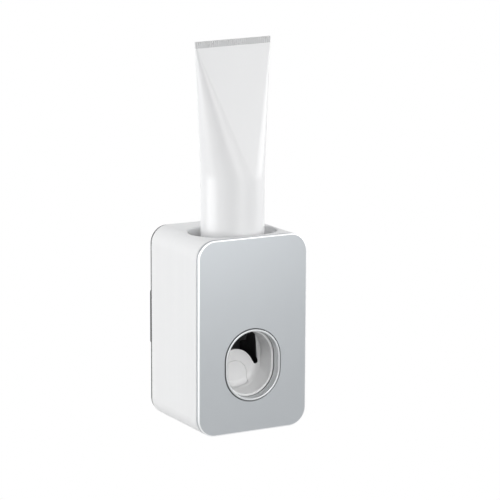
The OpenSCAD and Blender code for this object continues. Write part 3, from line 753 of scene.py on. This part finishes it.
@dataclass
class FrontCover:
    """The pull-off front: a silver face wrapped over a white inner cover, and a bright ring."""

    case: Case
    thick: float = 2.2
    seam: float = 0.3
    seam_deep: float = 1.2
    face: float = 0.8
    face_round: float = 0.65
    face_drop: float = 0.6
    face_steps: int = 10
    break_edge: float = 0.15
    fit: float = 0.05
    hole_fit: float = 0.1
    rib: float = 2.0
    ring_width: float = 33.5
    ring_height: float = 39.3
    ring_z: float = 36.3
    lip: float = 0.5
    ring_wall: float = 1.0
    proud: float = 0.4
    groove: float = 0.45
    ring_edge: float = 0.3
    ring_edge_steps: int = 5
    ring_step: float = 0.1
    ring_end: float = 4.6
    ring_chamfer: float = 0.2
    # Front depth of the near-black strip in the ring's groove, which is painted shade.
    seat: float = 0.25
    collar: float = 0.7
    peg_radius: float = 1.95
    peg_reach: float = 8.0
    peg_root: float = 0.4
    peg_round: float = 0.5

    def opening(self, grow: float = 0.0) -> Outline:
        """Draws the brush opening's obround outline.

        Args:
            grow: How much it grows all round.

        Returns:
            The outline.
        """
        width = self.ring_width + 2 * grow
        return Outline(width, self.ring_height + 2 * grow, width / 2, 0.0, self.ring_z)

    def add(self, rings: list[Ring], name: str, slot: str, finish: Finish, replaced: str) -> None:
        """Adds a piece that closed rings form, as a part of the cover.

        Args:
            rings: The rings of its loft.
            name: The piece's name.
            slot: Not used.
            finish: Its finish.
            replaced: The CAD node that it stands for.
        """
        piece = as_object(loft(rings, Plane.FRONT, closed=True), name)
        hand_over(piece, "front_cover", finish, [replaced])

    def build(self) -> None:
        """Builds the cover's pieces."""
        self.build_frame()
        self.build_face()
        self.build_ring()

    def build_frame(self) -> None:
        """Builds the white inner cover: plate, stepped rib, collar and pegs."""
        line = self.case.outline()
        hole = self.opening(self.hole_fit - self.lip)
        collar = self.opening(self.collar)
        seat = self.thick + self.seam
        inset = self.face + self.fit
        rib_end = self.seam_deep + self.rib
        collar_end = self.ring_end - self.ring_chamfer
        steps = ((hole, 0, self.face), (line, inset, self.face), (line, inset, self.thick),
                 (line, self.seam_deep, self.thick), (line, self.seam_deep, seat), (line, rib_end, seat),
                 (line, rib_end, self.thick), (collar, 0, self.thick), (collar, 0, collar_end),
                 (hole, 0, collar_end))
        piece = as_object(loft([Ring(*step) for step in steps], Plane.FRONT, closed=True), "cover")
        for _, x, height in self.case.corners():
            work(piece, rod(Plane.FRONT, x, height, self.peg_radius, self.thick - self.peg_root,
                            seat + self.peg_reach, self.peg_round), Cut.JOIN)
        hand_over(piece, "front_cover", Finishes.COVER, ["cover_frame"])

    def build_face(self) -> None:
        """Builds the silver face, and its rounded edge where it wraps over the cover, in a brighter copy of
        the silver that is a painted highlight.
        """
        line = self.case.outline()
        hole = self.opening(self.hole_fit)
        small = self.break_edge
        steps = ((line, self.face_round, 0), (line, self.face_round, self.face_drop),
                 (line, 0, self.face_drop), (line, 0, self.thick - small), (line, small, self.thick),
                 (line, self.face, self.thick), (line, self.face, self.face), (hole, 0, self.face),
                 (hole, 0, small), (hole, -small, 0))
        self.add([Ring(*step) for step in steps], "face", "silver_face", Finishes.SILVER, "face_plate")
        angles = [math.radians(90 * i / self.face_steps) for i in range(self.face_steps + 1)]
        edge = [Ring(line, self.face_round * (1 - math.sin(a)), self.face_drop * (1 - math.cos(a)))
                for a in angles]
        edge.append(Ring(line, self.face_round, self.face_drop))
        # The rounded edge gets the brighter copy of the silver: a painted highlight.
        self.add(edge, "face_edge_painted_highlight", "silver_face", Finishes.FACE_EDGE_PAINTED_HIGHLIGHT, "face_plate")

    def build_ring(self) -> None:
        """Builds the bright ring with its rounded lip, and a near-black strip at its groove's bottom that is
        painted shade of the gap around the ring.
        """
        line = self.opening()
        bore = self.lip + self.ring_wall
        step = self.face - self.ring_step
        edge = self.ring_edge
        rings = [Ring(line, 0, self.face), Ring(line, 0, step), Ring(line, self.groove, step)]
        for inset, start in ((self.groove + edge, -180), (bore - edge, -90)):
            rings += arc(line, inset, edge - self.proud, edge, start, start + 90, self.ring_edge_steps)
        rings += [Ring(line, bore, self.ring_end - self.ring_chamfer),
                  Ring(line, bore - self.ring_chamfer, self.ring_end),
                  Ring(line, self.lip, self.ring_end), Ring(line, self.lip, self.face)]
        self.add(rings, "ring", "chrome_ring", Finishes.CHROME, "trim_ring")
        # A near-black strip at the groove's bottom: painted shade of the gap around the ring.
        dark = [Ring(line, inset, along) for inset, along in
                ((0, self.seat), (self.groove, self.seat), (self.groove, step), (0, step))]
        self.add(dark, "ring_groove_painted_shade", "chrome_ring", Finishes.GROOVE_PAINTED_SHADE, "trim_ring")


@dataclass
class BrushCup:
    """The white cup that the brush presses, with its arms and inset pad."""

    width: float = 31.0
    height: float = 36.8
    z: float = 36.3
    wall: float = 1.5
    front: float = 5.0
    back: float = 22.0
    back_chamfer: float = 0.3
    lip_round: float = 0.6
    fillet: float = 4.0
    fillet_steps: int = 9
    dome: float = 11.6
    dome_z: float = 28.8
    hinge_z: float = 58.35
    arm_x: float = 12.8
    arm: float = 2.5
    arm_front: float = 5.0
    arm_back: float = 3.0
    arm_rear: float = 50.3
    boss_end: float = 16.95
    boss: float = 3.4
    pin: float = 1.56
    pin_reach: float = 20.0
    hinge_y: float = 22.0
    slot: float = 6.5
    slot_lip: float = 1.6
    slot_z: float = 48.9
    pad_front: float = 12.0
    pad_end: float = 21.3
    pad_gap: float = 0.18
    pad_half: float = 7.4
    pad_high: float = 14.2
    pad_sink: float = 0.6
    pad_side: float = 0.5
    tip: float = 1.2
    tip_x: float = 12.5
    tip_rise: float = 3.8
    lean: float = 0.105
    draft: float = 0.62
    edge_y: float = 19.4

    def outline(self) -> Outline:
        """Draws the cup's obround outline.

        Returns:
            The outline.
        """
        return Outline(self.width, self.height, self.width / 2, 0.0, self.z)

    def solid_mesh(self) -> BMesh:
        """Makes the cup before it is hollowed, with its rounded lip.

        Returns:
            Its mesh.
        """
        line = self.outline()
        lip = self.front + self.lip_round
        rings = [Ring(line, self.back_chamfer, self.back), Ring(line, 0, self.back - self.back_chamfer)]
        rings += arc(line, self.lip_round, lip, self.lip_round, -180, -90)
        rings += arc(line, self.wall - self.lip_round, lip, self.lip_round, -90, 0)
        return loft(rings, Plane.FRONT)

    def space_mesh(self) -> BMesh:
        """Makes the brush space that hollows the cup, filleted where the wall meets the floor.

        Returns:
            Its mesh.
        """
        line = self.outline()
        floor = self.back - self.wall
        rings = [Ring(line, self.wall, self.front - OVER)]
        rings += arc(line, self.wall + self.fillet, floor - self.fillet, self.fillet, 180, 90,
                     self.fillet_steps)
        return loft(rings, Plane.FRONT)

    def pad_line(self) -> Outline:
        """Draws the pad's arch: an obround whose lower half lies below the cup's floor.

        Returns:
            The outline.
        """
        floor = self.z - self.height / 2 + self.wall + self.pad_sink
        return Outline(2 * self.pad_half, 2 * self.pad_high, self.pad_half, 0.0, floor)

    def pad_mesh(self, gap: float) -> BMesh:
        """Makes the column that parts the pad from the cup, seen from the front as the pad's arch.

        Args:
            gap: How far it is drawn in all round.

        Returns:
            The column's mesh.
        """
        line = self.pad_line()
        column = as_object(loft([Ring(line, gap, self.pad_front), Ring(line, gap, self.pad_end - gap)],
                                Plane.FRONT), "column")
        room = self.outline()
        inset = self.wall + self.pad_side + gap
        work(column, loft([Ring(room, inset, self.pad_front - OVER), Ring(room, inset, self.pad_end + OVER)],
                          Plane.FRONT), Cut.KEEP)
        return taken(column)

    def arch_mesh(self) -> BMesh:
        """Makes the body that cuts the arched opening over the dome, with round tips.

        Returns:
            Its mesh.
        """
        inner = self.width / 2 - self.wall
        tip_z = self.dome_z + self.tip_rise
        low = self.tip_x + self.tip
        start, end = self.back - self.fillet - OVER, self.back + 2 * OVER
        cutter = as_object(block((-inner, start, self.dome_z), (inner, end, self.hinge_z)), "arch")
        keep = block((-low, start - OVER, tip_z), (low, end + OVER, tip_z + self.height))
        for vert in keep.verts:
            rise = (vert.co.z - BASE_Z) / MM - tip_z
            reach = low - self.lean * rise + self.draft * ((vert.co.y - FACE_Y) / MM - self.edge_y)
            vert.co.x = math.copysign(reach * MM, vert.co.x)
        work(cutter, keep, Cut.KEEP)
        work(cutter, rod(Plane.FRONT, 0, self.dome_z, self.dome, start - 2 * OVER, end + 2 * OVER), Cut.TAKE)
        for side in (-1, 1):
            rings = []
            for along in (start, end):
                grown = self.draft * (along - self.edge_y) / 2
                radius = self.tip + grown
                circle = Outline(2 * radius, 2 * radius, radius, side * (self.tip_x + grown), tip_z)
                rings.append(Ring(circle, 0, along))
            work(cutter, loft(rings, Plane.FRONT), Cut.JOIN)
        return taken(cutter)

    def build(self) -> None:
        """Builds the lever with its cup, and the pad."""
        lever = as_object(self.solid_mesh(), "cup")
        self.add_arms(lever)
        for tool in (self.space_mesh(), self.pad_mesh(0.0), self.arch_mesh(),
                     block((-self.slot, self.front + self.slot_lip, self.slot_z),
                           (self.slot, self.back + OVER, self.hinge_z))):
            work(lever, tool, Cut.TAKE)
        hand_over(lever, "lever", Finishes.CUP, ["push_lever"])
        pad = as_object(self.solid_mesh(), "pad")
        work(pad, self.space_mesh(), Cut.TAKE)
        work(pad, self.pad_mesh(self.pad_gap), Cut.KEEP)
        hand_over(pad, "lever", Finishes.CUP, ["push_pad"])

    def add_arms(self, lever: Object) -> None:
        """Joins the two arms with their pivot bosses, and bores them for the pins.

        Args:
            lever: The lever's object.
        """
        for side in (-1, 1):
            arm = sorted((side * self.arm_x, side * (self.arm_x + self.arm)))
            for start, end, low in ((self.hinge_y - self.arm_front, self.back, self.z),
                                    (self.back - OVER, self.hinge_y + self.arm_back, self.arm_rear)):
                work(lever, block((arm[0], start, low), (arm[1], end, self.hinge_z)), Cut.JOIN)
            ends = (side * self.arm_x, side * self.boss_end)
            work(lever, rod(Plane.SIDE, self.hinge_y, self.hinge_z, self.boss, *ends), Cut.JOIN)
        work(lever, rod(Plane.SIDE, self.hinge_y, self.hinge_z, self.pin, -self.pin_reach, self.pin_reach),
             Cut.TAKE)


@dataclass
class PasteTube:
    """The toothpaste tube: round below, flattening to a ridged crimp."""

    diameter: float = 34.0
    y: float = 23.0
    wall: float = 0.6
    bottom: float = 77.4
    low_ring: float = 20.0
    high_ring: float = 2.0
    round_end: float = 135.4
    crimp_start: float = 203.2
    crimp_height: float = 3.4
    crimp_trim: float = 0.7
    crimp_thick: float = 1.4
    groove: float = 0.38
    turn: float = 12.7
    ridges: int = 36
    columns_per_ridge: int = 4
    steps: int = 26
    solid_steps: int = 3

    def crimp_width(self) -> float:
        """Measures the pressed end: half the tube's girth, less its trimmed corners.

        Returns:
            The width in millimetres.
        """
        return math.pi * self.diameter / 2 - 2 * self.crimp_trim

    def section(self, height: float, inset: float = 0.0) -> Outline:
        """Draws the tube's section at a height: a circle that stretches to a slit.

        Args:
            height: Height above the body's base.
            inset: How far it is drawn in.

        Returns:
            The section's outline.
        """
        span = self.crimp_start - self.round_end
        share = min(max((height - self.round_end) / span, 0.0), 1.0)
        radius = (1 - share) * self.diameter / 2 + share * self.crimp_thick / 2 - inset
        reach = share * (self.crimp_width() / 2 - self.crimp_thick / 2)
        return Outline(2 * (radius + reach), 2 * radius, radius, 0.0, self.y, self.turn)

    def build(self) -> None:
        """Builds the sleeve, hollow up to its last steps, and its crimp."""
        rise = self.crimp_start - self.round_end
        heights = [self.bottom, self.bottom + self.low_ring, self.round_end - self.high_ring]
        heights += [self.round_end + rise * i / self.steps for i in range(self.steps + 1)]
        hollow = heights[:len(heights) - self.solid_steps]
        rings = [Ring(self.section(h, self.wall), 0, h) for h in reversed(hollow)]
        rings += [Ring(self.section(h), 0, h) for h in heights]
        for mesh, name, finish in ((loft(rings, Plane.TOP), "tube_body", Finishes.TUBE),
                                   (self.crimp_mesh(), "tube_crimp", Finishes.CRIMP)):
            hand_over(as_object(mesh, name), "toothpaste_tube", finish, ["tube_sleeve"])

    def crimp_mesh(self) -> BMesh:
        """Makes the pressed end: a strip with upright ridges on both faces.

        Returns:
            Its mesh.
        """
        mesh = bmesh.new()
        columns = self.columns_per_ridge * self.ridges
        width = self.crimp_width()
        bmesh.ops.create_grid(mesh, x_segments=columns, y_segments=1, size=0.5)
        turn = math.radians(self.turn)
        grown = bmesh.ops.extrude_face_region(mesh, geom=list(mesh.faces))["geom"]
        far = {item for item in grown if isinstance(item, BMVert)}
        for vert in list(mesh.verts):
            along = vert.co.x * width
            column = round((vert.co.x + 0.5) * columns)
            side = 1 if vert in far else -1
            sunk = column % self.columns_per_ridge in (0, 1)
            across = side * (self.crimp_thick / 2 - (self.groove if sunk else 0.0))
            height = self.crimp_start + (vert.co.y + 0.5) * self.crimp_height
            vert.co = Plane.TOP.place(along * math.cos(turn) - across * math.sin(turn),
                                      self.y + along * math.sin(turn) + across * math.cos(turn), height)
        bmesh.ops.recalc_face_normals(mesh, faces=mesh.faces)
        return mesh


@dataclass
class WallSide:
    """The gray back cover and the dark plate that it hangs on."""

    case: Case
    start: float = 54.5
    end: float = 56.5
    inset: float = 0.4
    edge: float = 0.5
    rib: float = 2.0
    rib_inset: float = 2.4
    rib_wall: float = 1.5
    rib_root: float = 0.2
    rib_gap_reach: float = 14.0
    rib_gap_half: float = 1.4
    boss: float = 4.4
    stud_x: float = 20.0
    stud_z: float = 54.0
    stud: float = 2.0
    stud_head: float = 4.0
    keyhole_fit: float = 0.5
    head_thick: float = 1.5
    head_round: float = 0.4
    lift: float = 12.0
    gap: float = 0.3
    screw_bore: float = 1.6
    screw_head: float = 2.8
    screw_deep: float = 1.2
    plate_width: float = 61.7
    plate_height: float = 30.7
    plate_thick: float = 3.0
    plate_corner: float = 2.0
    plate_edge: float = 0.5

    def build(self) -> None:
        """Builds the back cover and the wall plate."""
        self.build_back()
        self.build_plate()

    def rib_mesh(self) -> BMesh:
        """Makes the rib that centres the back in the shell, open at the four bosses.

        Returns:
            Its mesh.
        """
        line = self.case.outline()
        inner, low, high = self.rib_inset + self.rib_wall, self.start - self.rib, self.start + self.rib_root
        steps = ((self.rib_inset, high), (self.rib_inset, low), (inner, low), (inner, high))
        rib = as_object(loft([Ring(line, *step) for step in steps], Plane.FRONT, closed=True), "rib")
        for _, x, height in self.case.corners():
            work(rib, rod(Plane.FRONT, x, height, self.boss, low - OVER, self.start), Cut.TAKE)
            work(rib, block((x - self.rib_gap_reach, low - OVER, height - self.rib_gap_half),
                            (x + self.rib_gap_reach, self.start, height + self.rib_gap_half)), Cut.TAKE)
        return taken(rib)

    def build_back(self) -> None:
        """Builds the back cover with its rounded edge, rib, keyholes and screw holes."""
        line = self.case.outline()
        rings = [Ring(line, self.inset, self.start)]
        rings += arc(line, self.inset + self.edge, self.end - self.edge, self.edge, 180, 90)
        back = as_object(loft(rings, Plane.FRONT), "back")
        work(back, self.rib_mesh(), Cut.JOIN)
        low = self.stud_z - self.lift
        neck = self.stud + self.gap
        start, end = self.start - OVER, self.end + OVER
        for side in (-1, 1):
            x = side * self.stud_x
            tools = [rod(Plane.FRONT, x, self.stud_z, neck, start, end),
                     block((x - neck, start, low), (x + neck, end, self.stud_z)),
                     rod(Plane.FRONT, x, low, self.stud_head + self.keyhole_fit, start, end)]
            for _, screw_x, height in (place for place in self.case.corners() if place[0] == side):
                tools += [rod(Plane.FRONT, screw_x, height, self.screw_bore, start, end),
                          rod(Plane.FRONT, screw_x, height, self.screw_head, self.end - self.screw_deep, end)]
            for tool in tools:
                work(back, tool, Cut.TAKE)
        hand_over(back, "housing", Finishes.BACK, ["back_cover"])

    def build_plate(self) -> None:
        """Builds the wall plate with its two mushroom studs."""
        line = Outline(self.plate_width, self.plate_height, self.plate_corner, 0.0, self.stud_z)
        small = self.plate_edge
        rings = arc(line, small, self.end + small, small, -90, -180)
        rings.append(Ring(line, 0, self.end + self.plate_thick))
        plate = as_object(loft(rings, Plane.FRONT), "plate")
        head = self.start - self.gap
        tip = head - self.head_thick
        for side in (-1, 1):
            for radius, start, end, small in ((self.stud, self.end + OVER, tip + self.head_round, 0.0),
                                              (self.stud_head, head, tip, self.head_round)):
                work(plate, rod(Plane.FRONT, side * self.stud_x, self.stud_z, radius, start, end, small),
                     Cut.JOIN)
        hand_over(plate, "wall_mount", Finishes.GRAPHITE, ["wall_plate"])


@dataclass
class HiddenWorks:
    """The pump, its channel, the screws and the pad, in the shapes of their CAD nodes."""

    dressed: ClassVar[dict[Finish, tuple[str, ...]]] = {
        Finishes.PUMP: ("cartridge_frame", "duct_body", "duct_lid", "socket_ring", "bellows_ring", "plunger"),
        Finishes.STEEL: ("cartridge_screws", "hinge_pins", "duct_screws", "back_screws"),
        Finishes.SILICONE: ("tube_socket", "inlet_flap"),
        Finishes.DARK_SILICONE: ("outlet_valve", "nozzle_cap"),
        Finishes.TUBE_PLASTIC: ("tube_shoulder",),
        Finishes.PASTE: ("paste_fill",),
        Finishes.FOAM: ("adhesive_pad",),
    }
    front_y: float = 29.0
    bellows_y: float = 46.0
    spring_y: float = 43.6
    stroke: float = 6.95

    def build(self) -> None:
        """Makes the two pieces that are squeezed, and dresses every CAD node that keeps its own shape."""
        self.build_squeezed("bellows", Finishes.DARK_SILICONE)
        self.build_squeezed("return_spring", Finishes.STEEL)
        for finish, nodes in self.dressed.items():
            for node in nodes:
                Finishes.dress(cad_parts[node], finish)
                LOG.info("%s: dressed as %s", node, finish.name)

    def build_squeezed(self, node: str, finish: Finish) -> None:
        """Makes a piece that the plunger squeezes towards its fixed end.

        Args:
            node: The CAD node that it stands for.
            finish: Its finish.
        """
        piece = node_copy(node, f"{node}_squeezed")
        hand_over(piece, "housing", finish, [node])
        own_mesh(piece)


@dataclass(frozen=True)
class Lamp:
    """A square soft box: where it hangs, its side in metres, its watts and what it is aimed at."""

    name: str
    place: tuple[float, float, float]
    size: float
    power: float
    target: tuple[float, float, float] = (0.0, FACE_Y / 2, 0.03)

    def hang(self) -> None:
        """Adds the lamp to the scene."""
        data = bpy.data.lights.new(self.name, "AREA")
        data.shape = "SQUARE"
        data.size = self.size
        data.energy = self.power
        made = bpy.data.objects.new(self.name, data)
        made.location = self.place
        aim = Vector(self.target) - Vector(self.place)
        made.rotation_euler = aim.to_track_quat("-Z", "Y").to_euler()
        bpy.context.scene.collection.objects.link(made)


@dataclass
class Studio:
    """Camera, floor, world and lamps."""

    eye: tuple[float, float, float] = (-0.56871, -1.08107, 0.2734)
    forward: tuple[float, float, float] = (0.47632, 0.85793, -0.19254)
    roll: float = 0.252
    lens: float = 163.88
    clip_start: float = 0.05
    floor_drop: float = 0.25
    floor_size: float = 8.0
    floor_color: tuple[float, float, float, float] = (0.45, 0.45, 0.45, 1)
    floor_roughness: float = 0.9
    white: tuple[float, float, float, float] = (1, 1, 1, 1)
    room_color: tuple[float, float, float, float] = (0.975, 0.988, 1.0, 1)
    level: float = 0.1
    wall_side: float = 1.06
    lamps: tuple[Lamp, ...] = (
        Lamp("wall side", (-1.2, 0.4, 0.2), 1.0, 11.4),
        Lamp("left front", (-0.5, -0.9, 1.1), 0.8, 4.3),
        Lamp("right", (1.2, -0.2, 0.4), 1.0, 7.5),
        Lamp("front", (-0.1, -1.4, 0.0), 0.8, 3.6),
        Lamp("top", (0.46, -0.25, 0.9), 0.5, 0.7),
        Lamp("card", (0.06, -0.32, 0.09), 0.2, 0.217, (-0.02, FACE_Y, 0.06)),
    )

    def build(self) -> None:
        """Builds the whole studio."""
        self.build_camera()
        self.build_floor()
        self.build_world()
        for lamp in self.lamps:
            lamp.hang()
        bpy.context.scene.view_settings.view_transform = "Standard"

    def build_camera(self) -> None:
        """Sets the camera at the photograph's viewing angle."""
        data = bpy.data.cameras.new("camera")
        data.lens = self.lens
        data.sensor_width = SENSOR_WIDTH
        data.clip_start = self.clip_start
        camera = bpy.data.objects.new("camera", data)
        camera.location = self.eye
        turn = Vector(self.forward).to_track_quat("-Z", "Y") @ Quaternion((0, 0, 1), math.radians(self.roll))
        camera.rotation_euler = turn.to_euler()
        bpy.context.scene.collection.objects.link(camera)
        bpy.context.scene.camera = camera

    @staticmethod
    def blend(board: NodeBoard, rays: Sequence[str], lit: Node, shown: Node,
              output: str) -> None:
        """Shows one shader to some kinds of rays and another to all the rest.

        Args:
            board: The board of the floor's or the world's nodes.
            rays: The Light Path outputs that see the second shader.
            lit: The shader for all other rays.
            shown: The shader that those rays see.
            output: The output node's type name.
        """
        path = board.add("LightPath")
        seen = path.outputs[rays[0]]
        for ray in rays[1:]:
            seen = board.math("MAXIMUM", seen, path.outputs[ray])
        mix = board.add("MixShader")
        for socket, value in zip(mix.inputs, (seen, lit.outputs[0], shown.outputs[0])):
            board.feed(socket, value)
        board.feed(board.add(output).inputs["Surface"], mix.outputs[0])

    def build_floor(self) -> None:
        """Lays the pale floor below the dispenser."""
        mesh = bmesh.new()
        bmesh.ops.create_grid(mesh, x_segments=2, y_segments=2, size=self.floor_size / 2)
        bmesh.ops.translate(mesh, verts=mesh.verts, vec=(0, 0, BASE_Z - self.floor_drop))
        floor = as_object(mesh, "floor")
        made = bpy.data.materials.new("floor_pale")
        made.use_nodes = True
        board = NodeBoard(made.node_tree)
        matte = board.add("BsdfPrincipled")
        matte.inputs["Base Color"].default_value = self.floor_color
        matte.inputs["Roughness"].default_value = self.floor_roughness
        glow = board.add("Emission")
        glow.inputs["Color"].default_value = self.white
        self.blend(board, ("Is Camera Ray", "Is Glossy Ray"), matte, glow, "OutputMaterial")
        floor.data.materials.append(made)

    def build_world(self) -> None:
        """Makes a white surround for the camera, and for light a room whose wall side is brighter."""
        world = bpy.data.worlds.new("studio")
        world.use_nodes = True
        bpy.context.scene.world = world
        board = NodeBoard(world.node_tree)
        way = board.add("SeparateXYZ")
        board.feed(way.inputs[0], board.add("TexCoord").outputs["Generated"])
        rear = board.math("MAXIMUM", way.outputs["Y"], 0.0)
        level = board.math("ADD", self.level, board.math("MULTIPLY", rear, self.wall_side))
        soft = board.add("Background")
        soft.inputs["Color"].default_value = self.room_color
        board.feed(soft.inputs["Strength"], level)
        shown = board.add("Background")
        shown.inputs["Color"].default_value = self.white
        shown.inputs["Strength"].default_value = 1.0
        rays = ("Is Camera Ray", "Is Transmission Ray", "Is Glossy Ray")
        self.blend(board, rays, soft, shown, "OutputWorld")


def main() -> None:
    """Builds every sub-assembly and the studio, in order."""
    logging.basicConfig(level=logging.INFO, format="%(message)s")
    Studio().build()
    case = Case()
    case.build()
    FrontCover(case).build()
    BrushCup().build()
    PasteTube().build()
    WallSide(case).build()
    HiddenWorks().build()


if __name__ == "__main__":
    main()
